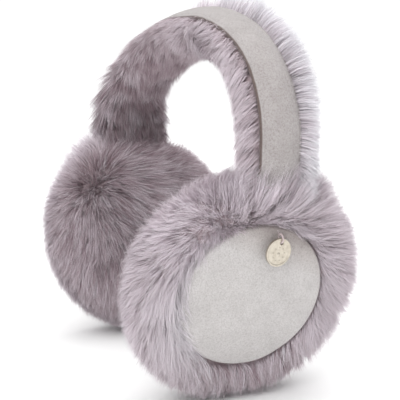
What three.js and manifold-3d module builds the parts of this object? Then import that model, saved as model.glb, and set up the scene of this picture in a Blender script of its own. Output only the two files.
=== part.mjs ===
// Furry earmuffs: a padded band lined with fur, two fur muffs with a domed suede
// cap on the outside of each, and a small charm hung on the right cap.
//
// Millimetres. X runs across the head from the left muff to the right one, Y from
// the wearer's face to the back of the head, Z up. The origin is on the resting
// plane, midway between the muffs. The pair stands on the flattened bottoms of
// its two muffs.

import * as THREE from 'three';
import { mergeVertices } from 'three/addons/utils/BufferGeometryUtils.js';
import Module from 'manifold-3d';

const wasm = await Module();
wasm.setup();

const gap = 0.35; // between pieces that rest on or in each other

// Muffs
const muffOffset = 64.5; // from the middle to a muff's centre
const muffHeight = 56.8; // muff's centre above the resting plane
const toeIn = THREE.MathUtils.degToRad(15.1); // how far the bottoms lean together
const recessRadius = 36.2; // socket in the fur for the suede cap
const recessFloor = 9.7; // along the muff's axis, from its centre
const muffSides = 24;
const profileSteps = 10;

// The backing of a muff's fur, cut through its axis, from the middle of the ear side
// round the rim to the suede cap. Height is along the axis, outwards.
const furProfile = [
  { radius: 0, height: -20.6 },
  { radius: 12, height: -20.2 },
  { radius: 24, height: -18.8 },
  { radius: 35, height: -15.6 },
  { radius: 44, height: -10.6 },
  { radius: 50.5, height: -4.4 },
  { radius: 54, height: 2.5 },
  { radius: 54, height: 9 },
  { radius: 50.5, height: 14.4 },
  { radius: 45, height: 17 },
  { radius: 40, height: 16.2 },
  { radius: recessRadius, height: 13.4 },
];

// Rings of locks round a muff. Share is the place along the profile, lean is 1 where
// the locks lie away from the ear and -1 where they lie away from the suede cap.
const muffLocks = [
  { share: 0.12, count: 5, lean: 1, rise: 20, length: 24, width: 19 },
  { share: 0.3, count: 8, lean: 1, rise: 20, length: 25, width: 24 },
  { share: 0.46, count: 11, lean: 1, rise: 24, length: 23, width: 25 },
  { share: 0.6, count: 12, lean: 0.9, rise: 30, length: 18, width: 27 },
  { share: 0.74, count: 12, lean: 0.2, rise: 50, length: 12, width: 27 },
  { share: 0.88, count: 12, lean: -0.9, rise: 26, length: 18, width: 24 },
];

// Fur gathered round the end of the band, at the top of each muff
const collarCentre = { across: 92, up: 106 };
const collarSize = { across: 11.5, along: 17, up: 11 };

// Fur pressed flat under each muff
const footSize = { across: 8.5, along: 13, height: 8 };

// Band
const bandBack = 4; // middle of the band behind the muffs' centres
const halfSpan = 101; // from the middle to the outside of a leg
const springHeight = 126; // where the arch starts
const archRise = 55;
const archSkew = 15; // how far the crown sags to the right
const legLength = 26;
const tuckStart = 8; // below this much of the leg it bends into the muff
const tuckDepth = 9;
const archShare = 0.83; // share of the curve's parameter spent on the arch
const bandWidth = 19.8;
const bandThickness = 3;
const bandSteps = 30;

// Fur of the band
const bandFur = { inset: 8.1, halfWidth: 19.6, halfDepth: 14, backing: 4 };
const bandFurSides = 12;
const bandLockStations = 9;

// Rows of locks along the band. Angle is round the section from the outside.
const bandLocks = [
  { angle: 72, rise: 22, length: 19, width: 20 },
  { angle: 128, rise: 22, length: 19, width: 20 },
];

// Suede cap, cut through its axis in the same way
const capProfile = [
  { radius: 0, height: recessFloor + gap },
  { radius: 33, height: recessFloor + gap },
  { radius: 34.8, height: 12.2 },
  { radius: 35.5, height: 14.2 },
  { radius: 35.4, height: 15.8 },
  { radius: 34.2, height: 17 },
  { radius: 30, height: 18.2 },
  { radius: 23, height: 19.3 },
  { radius: 14, height: 20.2 },
  { radius: 0, height: 20.8 },
];
const capSides = 32;

// Charm
const charm = {
  radius: 6.5, thickness: 1, rimWidth: 0.8, rimHeight: 0.25,
  holeRadius: 0.95, holeOffset: 4.5, dots: 9, dotRing: 3.1, dotRadius: 0.42,
  tilt: THREE.MathUtils.degToRad(7), // bottom stands off the cap
  turn: THREE.MathUtils.degToRad(8), // front edge stands off the cap
  roll: THREE.MathUtils.degToRad(-18), // hole sits towards the back
};
const thread = {
  halfHeight: 2.6, halfUp: 2.4, radius: 0.4, front: -8.4, height: 19.4, up: 31,
  hold: THREE.MathUtils.degToRad(30), // where the charm hangs, from the loop's bottom
};

// Locks
const lockSides = 4;
const lockSteps = 1;
const lockFlatness = 0.6; // thickness over width
const lockRoot = 3.5; // how deep a lock starts under the backing
const lockCurl = 0.16; // droop of the tip over the length
const lockDroop = 0.3; // pull of gravity on the way the locks lie

const furMaterial = () => new THREE.MeshStandardMaterial({
  color: 0xb2a8af, roughness: 0.95, metalness: 0,
});
const suedeMaterial = (color) => new THREE.MeshStandardMaterial({
  color, roughness: 0.9, metalness: 0,
});
const charmMaterial = new THREE.MeshStandardMaterial({
  color: 0xdccfae, roughness: 0.35, metalness: 0.9,
});
const threadMaterial = new THREE.MeshStandardMaterial({
  color: 0xd9cdd0, roughness: 0.8, metalness: 0,
});

// A small repeatable generator, so that the locks vary the same way every time.
function makeJitter(seed) {
  let state = seed;
  return (spread) => {
    state = (state * 1664525 + 1013904223) % 4294967296;
    return spread * (2 * state / 4294967296 - 1);
  };
}

// Solids for joining and cutting

function toSolid(geometry) {
  const bare = geometry.clone();
  bare.deleteAttribute('normal');
  bare.deleteAttribute('uv');
  const merged = mergeVertices(bare, 1e-4);
  return new wasm.Manifold(new wasm.Mesh({
    numProp: 3,
    vertProperties: new Float32Array(merged.attributes.position.array),
    triVerts: new Uint32Array(merged.index.array),
  }));
}

function toGeometry(solid) {
  const mesh = solid.getMesh();
  const geometry = new THREE.BufferGeometry();
  geometry.setAttribute('position', new THREE.BufferAttribute(mesh.vertProperties, 3));
  geometry.setIndex(new THREE.BufferAttribute(mesh.triVerts, 1));
  geometry.computeVertexNormals();
  return geometry;
}

// The outer body alone, without crumbs or hollows closed in between locks.
function largestBody(solid) {
  const bodies = solid.decompose();
  return bodies.reduce((best, body) => (body.volume() > best.volume() ? body : best));
}

function join(solids) {
  return solids.reduce((whole, solid) => whole.add(solid));
}

function lathe(profile, sides) {
  const points = profile.map((row) => new THREE.Vector2(row.radius, row.height));
  return new THREE.LatheGeometry(points, sides);
}

function meshOf(name, geometry, material) {
  const mesh = new THREE.Mesh(geometry, material);
  mesh.name = name;
  return mesh;
}

// Places a muff: its own Y is its axis, outwards, its own Z points up along its face,
// and its own X points to the front on the right muff and to the back on the left.
function muffPlacement(side) {
  const turn = new THREE.Euler(0, side * toeIn, -side * Math.PI / 2);
  const at = new THREE.Vector3(side * muffOffset, 0, muffHeight);
  const one = new THREE.Vector3(1, 1, 1);
  return new THREE.Matrix4().compose(at, new THREE.Quaternion().setFromEuler(turn), one);
}

// A pointed lock of fur: a flattened cone whose tip droops back to the surface.
function lock(root, normal, flow, size) {
  const rise = THREE.MathUtils.degToRad(size.rise);
  const along = flow.clone().addScaledVector(normal, -flow.dot(normal)).normalize();
  const axis = along.multiplyScalar(Math.cos(rise)).addScaledVector(normal, Math.sin(rise));
  const side = new THREE.Vector3().crossVectors(normal, axis).normalize();
  const upper = new THREE.Vector3().crossVectors(side, axis).normalize();
  const cone = new THREE.ConeGeometry(size.width / 2, size.length, lockSides, lockSteps);
  cone.translate(0, size.length / 2, 0);
  const position = cone.attributes.position;
  for (let i = 0; i < position.count; i += 1) {
    const share = position.getY(i) / size.length;
    const full = 1 + 0.8 * share * (1 - share);
    const droop = lockCurl * size.length * share * share;
    position.setX(i, position.getX(i) * full);
    position.setZ(i, position.getZ(i) * full * lockFlatness + droop);
  }
  const base = root.clone().addScaledVector(normal, -lockRoot);
  cone.applyMatrix4(new THREE.Matrix4().makeBasis(side, axis, upper).setPosition(base));
  return cone;
}

// The band's centre line, along the outside of the strap from the right end over the
// crown to the left end: a half ellipse on two legs, whose ends bend into the muffs.
class BandCurve extends THREE.Curve {
  getPoint(share, target = new THREE.Vector3()) {
    const along = 1 - 2 * share;
    const side = Math.sign(along) || 1;
    const reach = Math.abs(along);
    if (reach < archShare) {
      const angle = (Math.PI / 2) * (1 - reach / archShare);
      const up = Math.sin(angle);
      const across = side * halfSpan * Math.cos(angle) + archSkew * up * up;
      return target.set(across, bandBack, springHeight + archRise * up);
    }
    const down = legLength * (reach - archShare) / (1 - archShare);
    const tuck = Math.max(0, (down - tuckStart) / (legLength - tuckStart));
    const across = side * (halfSpan - tuckDepth * tuck * tuck);
    return target.set(across, bandBack, springHeight - down);
  }
}
const bandCurve = new BandCurve();

// A section swept along the band. The section's X points to the front and its Y
// points away from the head.
function alongBand(outline) {
  const shape = new THREE.Shape(outline.map(([front, out]) => new THREE.Vector2(front, out)));
  return new THREE.ExtrudeGeometry(shape, {
    steps: bandSteps, curveSegments: 1, extrudePath: bandCurve,
  });
}

// A strap's section with rounded edges, its outside crowned a little.
function strapOutline(width, thickness, inner, crown) {
  const half = width / 2;
  const round = thickness / 3;
  return [
    [-half + round, inner],
    [half - round, inner],
    [half, inner + round],
    [half, inner + 2 * round],
    [half - round, inner + thickness],
    [0, inner + thickness + crown],
    [-half + round, inner + thickness],
    [-half, inner + 2 * round],
    [-half, inner + round],
  ];
}

function ellipseOutline(halfWidth, halfDepth, inset, sides) {
  return Array.from({ length: sides }, (_, i) => {
    const angle = (i + 0.5) * 2 * Math.PI / sides;
    return [halfWidth * Math.cos(angle), -inset + halfDepth * Math.sin(angle)];
  });
}

// The backing of a muff's fur, grown by some clearance, with the collar at the band's
// end and the flattened foot below.
function muffBacking(side, grow) {
  const rows = furProfile.map((row) => new THREE.Vector2(row.radius, row.height));
  const smooth = new THREE.SplineCurve(rows).getSpacedPoints(profileSteps);
  const profile = smooth.map((point) => ({
    radius: point.x < 1e-6 ? 0 : point.x + grow,
    height: point.y + grow * Math.sign(point.y - 6),
  }));
  profile.push({ radius: recessRadius, height: recessFloor });
  profile.push({ radius: 0, height: recessFloor });
  const pad = lathe(profile, muffSides).applyMatrix4(muffPlacement(side));
  const collar = new THREE.SphereGeometry(1, 10, 6);
  collar.rotateX(Math.PI / 2);
  collar.scale(collarSize.across + grow, collarSize.along + grow, collarSize.up + grow);
  collar.translate(side * collarCentre.across, bandBack, collarCentre.up);
  const cap = capRoom().applyMatrix4(muffPlacement(side));
  return join([toSolid(pad), toSolid(collar)]).subtract(toSolid(cap));
}

// The room that the suede cap needs, open to the outside.
function capRoom() {
  const room = new THREE.CylinderGeometry(recessRadius, recessRadius, 40, capSides);
  return room.translate(0, recessFloor + 20, 0);
}

function muffFoot(side) {
  const foot = new THREE.CylinderGeometry(1.35, 1, footSize.height, 16);
  foot.rotateX(Math.PI / 2);
  foot.scale(footSize.across, footSize.along, 1);
  const lowest = lowestPoint();
  foot.translate(side * lowest.across, 0, footSize.height / 2);
  return toSolid(foot);
}

// Where the muff's rim comes nearest the resting plane.
function lowestPoint() {
  const rim = furProfile[6];
  const across = muffOffset - rim.radius * Math.sin(toeIn) * 0.75 + 2;
  return { across };
}

// Locks in rings round a muff, in the order of the table.
function muffLockShapes(side) {
  const jitter = makeJitter(side > 0 ? 11 : 23);
  const placement = muffPlacement(side);
  const rows = furProfile.map((row) => new THREE.Vector2(row.radius, row.height));
  const profile = new THREE.SplineCurve(rows);
  const shapes = [];
  muffLocks.forEach((ring, index) => {
    const point = profile.getPointAt(ring.share);
    const tangent = profile.getTangentAt(ring.share);
    for (let i = 0; i < ring.count; i += 1) {
      const angle = 2 * Math.PI * (i + 0.5 * (index % 2) + jitter(0.18)) / ring.count;
      const outwards = new THREE.Vector3(Math.cos(angle), 0, Math.sin(angle));
      const root = outwards.clone().multiplyScalar(point.x).setY(point.y);
      const flow = outwards.clone().multiplyScalar(tangent.x).setY(tangent.y);
      const normal = outwards.clone().multiplyScalar(tangent.y).setY(-tangent.x);
      root.applyMatrix4(placement);
      flow.transformDirection(placement).multiplyScalar(ring.lean);
      normal.transformDirection(placement);
      flow.z -= lockDroop;
      const size = {
        rise: ring.rise + jitter(4),
        length: ring.length * (1 + jitter(0.12)),
        width: ring.width * (1 + jitter(0.08)),
      };
      shapes.push(lock(root, normal, flow, size));
    }
  });
  return shapes;
}

function belowGround() {
  return toSolid(new THREE.BoxGeometry(400, 400, 60).translate(0, 0, -30));
}

function muffFurGeometry(side) {
  const clearOfBand = toSolid(alongBand(ellipseOutline(
    bandFur.halfWidth + gap, bandFur.halfDepth + gap, bandFur.inset, bandFurSides,
  )));
  const locks = join(muffLockShapes(side).map(toSolid)).subtract(clearOfBand);
  const slot = toSolid(alongBand(strapOutline(
    bandWidth + 2 * gap, bandThickness + 2 * gap, -bandThickness - gap, 0.4,
  )));
  const cap = toSolid(capRoom().applyMatrix4(muffPlacement(side)));
  const whole = join([muffBacking(side, 0), muffFoot(side), locks]);
  return toGeometry(largestBody(whole.subtract(slot).subtract(cap).subtract(belowGround())));
}

function bandCoverGeometry() {
  return alongBand(strapOutline(bandWidth, bandThickness, -bandThickness, 0.4));
}

// Locks along both sides and the inside of the band's fur. They lie away from the
// strap and down the legs.
function bandLockShapes() {
  const jitter = makeJitter(37);
  const depth = bandFur.halfDepth - bandFur.backing;
  const width = bandFur.halfWidth - bandFur.backing;
  const shapes = [];
  for (let i = 0; i < bandLockStations; i += 1) {
    bandLocks.forEach((row, index) => {
      [-1, 1].forEach((front) => {
        const share = (i + 0.5 + 0.25 * (index % 2) * front + jitter(0.15)) / bandLockStations;
        const at = THREE.MathUtils.clamp(share, 0.12, 0.88);
        const centre = bandCurve.getPointAt(at);
        const tangent = bandCurve.getTangentAt(at);
        const out = new THREE.Vector3(tangent.z, 0, -tangent.x);
        const angle = THREE.MathUtils.degToRad(row.angle);
        const y = -front * width * Math.sin(angle);
        const root = centre.addScaledVector(out, depth * Math.cos(angle) - bandFur.inset);
        root.y += y;
        const normal = out.clone().multiplyScalar(Math.cos(angle) / depth);
        normal.y = -front * Math.sin(angle) / width;
        normal.normalize();
        const around = out.clone().multiplyScalar(-Math.sin(angle) * depth);
        around.y = -front * Math.cos(angle) * width;
        const down = tangent.clone().multiplyScalar(at < 0.5 ? -1 : 1);
        const flow = around.normalize().multiplyScalar(0.8).addScaledVector(down, 0.5);
        const size = {
          rise: row.rise + jitter(4),
          length: row.length * (1 + jitter(0.12)),
          width: row.width * (1 + jitter(0.08)),
        };
        shapes.push(lock(root, normal, flow, size));
      });
    });
  }
  return shapes;
}

function bandFurGeometry() {
  const backing = toSolid(alongBand(ellipseOutline(
    bandFur.halfWidth - bandFur.backing, bandFur.halfDepth - bandFur.backing,
    bandFur.inset, bandFurSides,
  )));
  const groove = toSolid(alongBand([
    [-bandWidth / 2 - gap, -bandThickness - gap],
    [bandWidth / 2 + gap, -bandThickness - gap],
    [bandWidth / 2 + gap, 20],
    [-bandWidth / 2 - gap, 20],
  ]));
  const furred = join([backing, ...bandLockShapes().map(toSolid)]);
  const muffs = [-1, 1].map((side) => muffBacking(side, gap));
  const clear = muffs.reduce((rest, muff) => rest.subtract(muff), furred.subtract(groove));
  return toGeometry(largestBody(clear));
}

function capGeometry(withThread) {
  const cap = toSolid(lathe(capProfile, capSides));
  if (!withThread) {
    return toGeometry(cap);
  }
  return toGeometry(cap.subtract(toSolid(threadLoop(thread.radius + gap, 5, 14))));
}

// The thread that holds the charm: a loop sewn through the face of the suede cap.
function threadLoop(radius, sides, steps) {
  const loop = new THREE.TorusGeometry(thread.halfUp, radius, sides, steps);
  loop.rotateY(Math.PI / 2);
  loop.scale(1, thread.halfHeight / thread.halfUp, 1);
  return loop.translate(thread.front, thread.height, thread.up);
}

// A thin coin with a raised rim, a ring of dots and a hole near its edge.
function charmGeometry() {
  const half = charm.thickness / 2;
  const edge = charm.radius;
  const coin = toSolid(lathe([
    { radius: 0, height: -half },
    { radius: edge - 0.2, height: -half },
    { radius: edge, height: -half + 0.2 },
    { radius: edge, height: half + charm.rimHeight - 0.15 },
    { radius: edge - 0.15, height: half + charm.rimHeight },
    { radius: edge - charm.rimWidth, height: half + charm.rimHeight },
    { radius: edge - charm.rimWidth - 0.15, height: half },
    { radius: 0, height: half },
  ], 24));
  const dots = [];
  for (let i = 0; i < charm.dots; i += 1) {
    const angle = 2 * Math.PI * i / charm.dots;
    const dot = new THREE.SphereGeometry(charm.dotRadius, 5, 3);
    const across = charm.dotRing * Math.cos(angle);
    const up = charm.dotRing * Math.sin(angle) - 0.9;
    dots.push(toSolid(dot.translate(across, half, up)));
  }
  const boss = new THREE.SphereGeometry(2 * charm.dotRadius, 8, 4).scale(1, 0.5, 1);
  dots.push(toSolid(boss.translate(0, half, -0.9)));
  const hole = new THREE.CylinderGeometry(charm.holeRadius, charm.holeRadius, 4, 12);
  hole.translate(0, 0, charm.holeOffset);
  return toGeometry(join([coin, ...dots]).subtract(toSolid(hole)));
}

function charmMesh() {
  const mesh = meshOf('charm', charmGeometry(), charmMaterial);
  mesh.rotation.set(charm.tilt, charm.roll, charm.turn, 'ZXY');
  const hole = new THREE.Vector3(0, 0, charm.holeOffset).applyEuler(mesh.rotation);
  mesh.position.set(
    thread.front,
    thread.height + thread.halfHeight * Math.sin(thread.hold),
    thread.up - thread.halfUp * Math.cos(thread.hold),
  );
  mesh.position.sub(hole);
  return mesh;
}

function makeMuffTrim(side) {
  const group = new THREE.Group();
  group.applyMatrix4(muffPlacement(side));
  const name = side > 0 ? 'cap_right' : 'cap_left';
  group.add(meshOf(name, capGeometry(side > 0), suedeMaterial(0xcdcbca)));
  if (side > 0) {
    group.add(charmMesh());
    group.add(meshOf('charm_thread', threadLoop(thread.radius, 5, 14), threadMaterial));
  }
  return group;
}

const earmuffs = new THREE.Group();
earmuffs.add(meshOf('band_cover', bandCoverGeometry(), suedeMaterial(0xbebab8)));
earmuffs.add(meshOf('band_fur', bandFurGeometry(), furMaterial()));
earmuffs.add(meshOf('muff_fur_left', muffFurGeometry(-1), furMaterial()));
earmuffs.add(meshOf('muff_fur_right', muffFurGeometry(1), furMaterial()));
earmuffs.add(makeMuffTrim(-1));
earmuffs.add(makeMuffTrim(1));

export default earmuffs;
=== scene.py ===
# Furry earmuffs: fur, suede, charm, studio and camera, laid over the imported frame.
import math

import bpy
import numpy as np
from mathutils import Matrix


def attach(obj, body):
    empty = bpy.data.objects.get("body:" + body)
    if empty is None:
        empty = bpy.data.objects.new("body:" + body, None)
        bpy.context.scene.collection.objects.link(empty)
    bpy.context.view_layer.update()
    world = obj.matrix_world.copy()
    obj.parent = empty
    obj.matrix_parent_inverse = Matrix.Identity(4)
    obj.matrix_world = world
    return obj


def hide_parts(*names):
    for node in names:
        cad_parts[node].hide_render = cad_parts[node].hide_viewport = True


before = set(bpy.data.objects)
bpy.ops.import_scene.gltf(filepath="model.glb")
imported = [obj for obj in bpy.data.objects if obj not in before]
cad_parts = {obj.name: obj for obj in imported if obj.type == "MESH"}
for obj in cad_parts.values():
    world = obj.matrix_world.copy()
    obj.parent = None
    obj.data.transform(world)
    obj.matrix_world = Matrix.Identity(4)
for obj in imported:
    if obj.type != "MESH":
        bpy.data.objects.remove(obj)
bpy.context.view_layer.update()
mm = 0.001
print("frame loaded")


def unit(v):
    # v / |v| along the last axis
    return v / np.maximum(np.linalg.norm(v, axis=-1, keepdims=True), 1e-12)


def smoothStep(low, high, x):
    # 3 t^2 - 2 t^3 with t = (x - low) / (high - low) held between 0 and 1
    t = np.clip((x - low) / (high - low), 0.0, 1.0)
    return t * t * (3.0 - 2.0 * t)


def splineThrough(table, share):
    # uniform Catmull-Rom through the rows of the table, share 0 to 1 over all of them
    rows = np.asarray(table, float)
    padded = np.vstack([2 * rows[0] - rows[1], rows, 2 * rows[-1] - rows[-2]])
    place = np.clip(share, 0.0, 1.0) * (len(rows) - 1)
    cell = np.minimum(place.astype(int), len(rows) - 2)
    t = (place - cell)[..., None]
    a, b, c, d = (padded[cell + k] for k in range(4))
    return 0.5 * (2 * b + (c - a) * t + (2 * a - 5 * b + 4 * c - d) * t**2 + (3 * b - a - 3 * c + d) * t**3)


def waves(points, size, seed):
    # a smooth field of about -1 to 1: the mean of 6 sines of dot(k, p) + phase, k of length 2 pi / size
    dice = np.random.default_rng(seed)
    k = unit(dice.normal(size=(6, 3))) * 2 * math.pi / size
    return np.sin(points @ k.T + dice.uniform(0, 2 * math.pi, 6)).mean(axis=-1) * 2.0


def addPiece(name, points, faces, material, uv=None, uvName="OFBake"):
    # faces is a list of arrays, one row of corner numbers per face
    mesh = bpy.data.meshes.new(name)
    corners = np.concatenate([f.ravel() for f in faces]).astype(np.int32)
    counts = np.concatenate([np.full(len(f), f.shape[1], np.int32) for f in faces])
    starts = np.concatenate([[0], np.cumsum(counts)[:-1]]).astype(np.int32)
    mesh.vertices.add(len(points))
    mesh.vertices.foreach_set("co", np.ascontiguousarray(points, np.float32).ravel())
    mesh.loops.add(len(corners))
    mesh.loops.foreach_set("vertex_index", corners)
    mesh.polygons.add(len(starts))
    mesh.polygons.foreach_set("loop_start", starts)
    mesh.update(calc_edges=True)
    if uv is not None:
        layer = mesh.uv_layers.new(name=uvName)
        layer.uv.foreach_set("vector", uv[corners].astype(np.float32).ravel())
    mesh.validate()
    mesh.shade_smooth()
    piece = bpy.data.objects.new(name, mesh)
    bpy.context.scene.collection.objects.link(piece)
    piece.data.materials.append(material)
    return piece


def gridQuads(rows, columns, wrapRows=False, wrapColumns=False):
    # corner numbers of a grid stored row by row; a wrapped side joins its last line to its first
    i = np.arange(rows if wrapRows else rows - 1)[:, None]
    j = np.arange(columns if wrapColumns else columns - 1)[None, :]
    nextI, nextJ = (i + 1) % rows, (j + 1) % columns
    quad = [i * columns + j, i * columns + nextJ, nextI * columns + nextJ, nextI * columns + j]
    return np.stack(np.broadcast_arrays(*quad), axis=-1).reshape(-1, 4)


def closedRings(rings):
    # points and faces of rings[r, c], each ring closed, the first and last rings drawn in to one point
    count, columns = rings.shape[:2]
    points = np.vstack([rings[:1].mean(axis=1), rings[1:-1].reshape(-1, 3), rings[-1:].mean(axis=1)])
    quads = gridQuads(count - 2, columns, wrapColumns=True) + 1
    j = np.arange(columns)
    nextJ = (j + 1) % columns
    last = len(points) - 1
    first = np.stack([np.zeros_like(j), nextJ + 1, j + 1], axis=-1)
    base = 1 + (count - 3) * columns
    final = np.stack([np.full_like(j, last), base + j, base + nextJ], axis=-1)
    return points, [quads, first, final]


band = {
    "back": 4 * mm,          # middle of the band behind the muffs' centres
    "halfSpan": 101 * mm,
    "spring": 126 * mm,      # height where the arch starts
    "rise": 55 * mm,
    "skew": 15 * mm,         # sag of the crown to the right
    "leg": 26 * mm,
    "tuckStart": 8 * mm,
    "strapTuck": 9 * mm,     # how far the strap's ends are drawn in
    "furTuck": 2 * mm,
    "archShare": 0.83,
}

muff = {
    "across": 64.5 * mm,
    "height": 56.8 * mm,
    "toeIn": math.radians(15.1),
}


def bandPath(share, tuckDepth):
    # arch: x = side a cos w + skew sin^2 w, z = spring + rise sin w; below it the legs, drawn in by tuck^2
    along = 1.0 - 2.0 * share
    side = np.where(along < 0, -1.0, 1.0)
    reach = np.abs(along)
    w = np.pi / 2 * (1.0 - np.minimum(reach / band["archShare"], 1.0))
    down = band["leg"] * np.maximum(reach - band["archShare"], 0.0) / (1.0 - band["archShare"])
    tuck = np.maximum(0.0, (down - band["tuckStart"]) / (band["leg"] - band["tuckStart"]))
    x = side * (band["halfSpan"] * np.cos(w) - tuckDepth * tuck**2) + band["skew"] * np.sin(w) ** 2
    z = band["spring"] + band["rise"] * np.sin(w) - down
    return np.stack([x, np.full_like(x, band["back"]), z], axis=-1)


def makeRoute(tuckDepth, reach):
    # the path in fine steps with the distance run at each; its direction is taken over reach either way
    path = bandPath(np.linspace(0.0, 1.0, 4001), tuckDepth)
    run = np.concatenate([[0.0], np.cumsum(np.linalg.norm(np.diff(path, axis=0), axis=1))])
    return {"path": path, "run": run, "length": float(run[-1]), "reach": reach}


strapRoute = makeRoute(band["strapTuck"], 0.4 * mm)
# the fur's route turns slowly, so that the fur inside the bends has room
furRoute = makeRoute(band["furTuck"], 24 * mm)


def bandAt(share, route):
    # point, direction and outward normal at a share of the way from the right end,
    # straight on past both ends
    run = share * route["length"]
    step, path = 0.4 * mm, route["path"]
    startWay, endWay = unit(path[0] - path[1]), unit(path[-1] - path[-2])

    def place(d):
        inside = np.stack([np.interp(d, route["run"], path[:, k]) for k in range(3)], axis=-1)
        before = np.maximum(-d, 0.0)[..., None] * startWay
        return inside + before + np.maximum(d - route["length"], 0.0)[..., None] * endWay

    reach = max(route["reach"], step)
    along = unit(place(run + reach) - place(run - reach))
    out = np.stack([along[..., 2], np.zeros_like(run), -along[..., 0]], axis=-1)
    return place(run), along, out


def bump(x, half):
    # 1 - (x / half)^2, never below 0
    return np.clip(1.0 - (x / half) ** 2, 0.0, 1.0)


def muffAxes(side):
    # centre, outward axis n, backward axis u and upward axis v of a muff
    c, s = math.cos(muff["toeIn"]), math.sin(muff["toeIn"])
    centre = np.array([side * muff["across"], 0.0, muff["height"]])
    return centre, np.array([side * c, 0.0, -s]), np.array([0.0, 1.0, 0.0]), np.array([side * s, 0.0, c])


def onMuff(side, radius, height, turn):
    # centre + radius (u cos turn + v sin turn) + height n
    centre, n, u, v = muffAxes(side)
    spoke = np.cos(turn)[..., None] * u + np.sin(turn)[..., None] * v
    return centre + radius[..., None] * spoke + height[..., None] * n


def newMaterial(name):
    material = bpy.data.materials.new(name)
    material.use_nodes = True
    nodes, links = material.node_tree.nodes, material.node_tree.links
    return material, nodes, links, nodes["Principled BSDF"]


def ramp(nodes, stops):
    # a colour ramp through (place, colour) stops
    node = nodes.new("ShaderNodeValToRGB")
    while len(node.color_ramp.elements) < len(stops):
        node.color_ramp.elements.new(0.5)
    for element, (place, colour) in zip(node.color_ramp.elements, stops):
        element.position = place
        element.color = (*colour, 1.0)
    return node


def mixColours(nodes, links, blend, factor, first, second):
    node = nodes.new("ShaderNodeMix")
    node.data_type = "RGBA"
    node.blend_type = blend
    for socket, value in ((node.inputs[0], factor), (node.inputs[6], first), (node.inputs[7], second)):
        if hasattr(value, "is_output"):
            links.new(value, socket)
        elif isinstance(value, tuple):
            socket.default_value = (*value, 1.0)
        else:
            socket.default_value = value
    return node.outputs[2]


def noise(nodes, links, vector, scale, detail=2.0, rough=0.5):
    node = nodes.new("ShaderNodeTexNoise")
    node.inputs["Scale"].default_value = scale
    node.inputs["Detail"].default_value = detail
    node.inputs["Roughness"].default_value = rough
    links.new(vector, node.inputs["Vector"])
    return node.outputs["Fac"]


def addRelief(nodes, links, shader, height, distance, strength=1.0):
    # a bump of the height field on the shader's normal
    node = nodes.new("ShaderNodeBump")
    node.inputs["Distance"].default_value = distance
    node.inputs["Strength"].default_value = strength
    links.new(height, node.inputs["Height"])
    links.new(node.outputs[0], shader.inputs["Normal"])


def furMaterial(name, stops, dark, light):
    # colour by place along the hair (v of the map) and by tone (u of the map), nothing else
    material, nodes, links, shader = newMaterial(name)
    uvMap = nodes.new("ShaderNodeUVMap")
    uvMap.uv_map = "OFBake"
    split = nodes.new("ShaderNodeSeparateXYZ")
    links.new(uvMap.outputs["UV"], split.inputs[0])
    alongHair = ramp(nodes, stops)
    links.new(split.outputs["Y"], alongHair.inputs[0])
    tone = ramp(nodes, [(0.0, dark), (0.5, (0.77, 0.765, 0.77)), (0.7, (0.86, 0.85, 0.86)), (0.88, light)])
    links.new(split.outputs["X"], tone.inputs[0])
    colour = mixColours(nodes, links, "MULTIPLY", 1.0, alongHair.outputs[0], tone.outputs[0])
    links.new(colour, shader.inputs["Base Color"])
    shader.inputs["Roughness"].default_value = 0.62
    shader.inputs["Specular IOR Level"].default_value = 0.35
    shader.inputs["Sheen Weight"].default_value = 0.25
    shader.inputs["Sheen Roughness"].default_value = 0.5
    return material


def peltMaterial(name, dark, light):
    # the dark ground between the hairs, flecked at 1 to 4 mm
    material, nodes, links, shader = newMaterial(name)
    place = nodes.new("ShaderNodeTexCoord").outputs["Object"]
    fleck = noise(nodes, links, place, 900.0, 4.0, 0.6)
    colour = ramp(nodes, [(0.3, dark), (0.7, light)])
    links.new(fleck, colour.inputs[0])
    links.new(colour.outputs[0], shader.inputs["Base Color"])
    addRelief(nodes, links, shader, noise(nodes, links, place, 1600.0, 3.0), 0.6 * mm)
    shader.inputs["Roughness"].default_value = 0.95
    shader.inputs["Specular IOR Level"].default_value = 0.1
    return material


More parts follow.
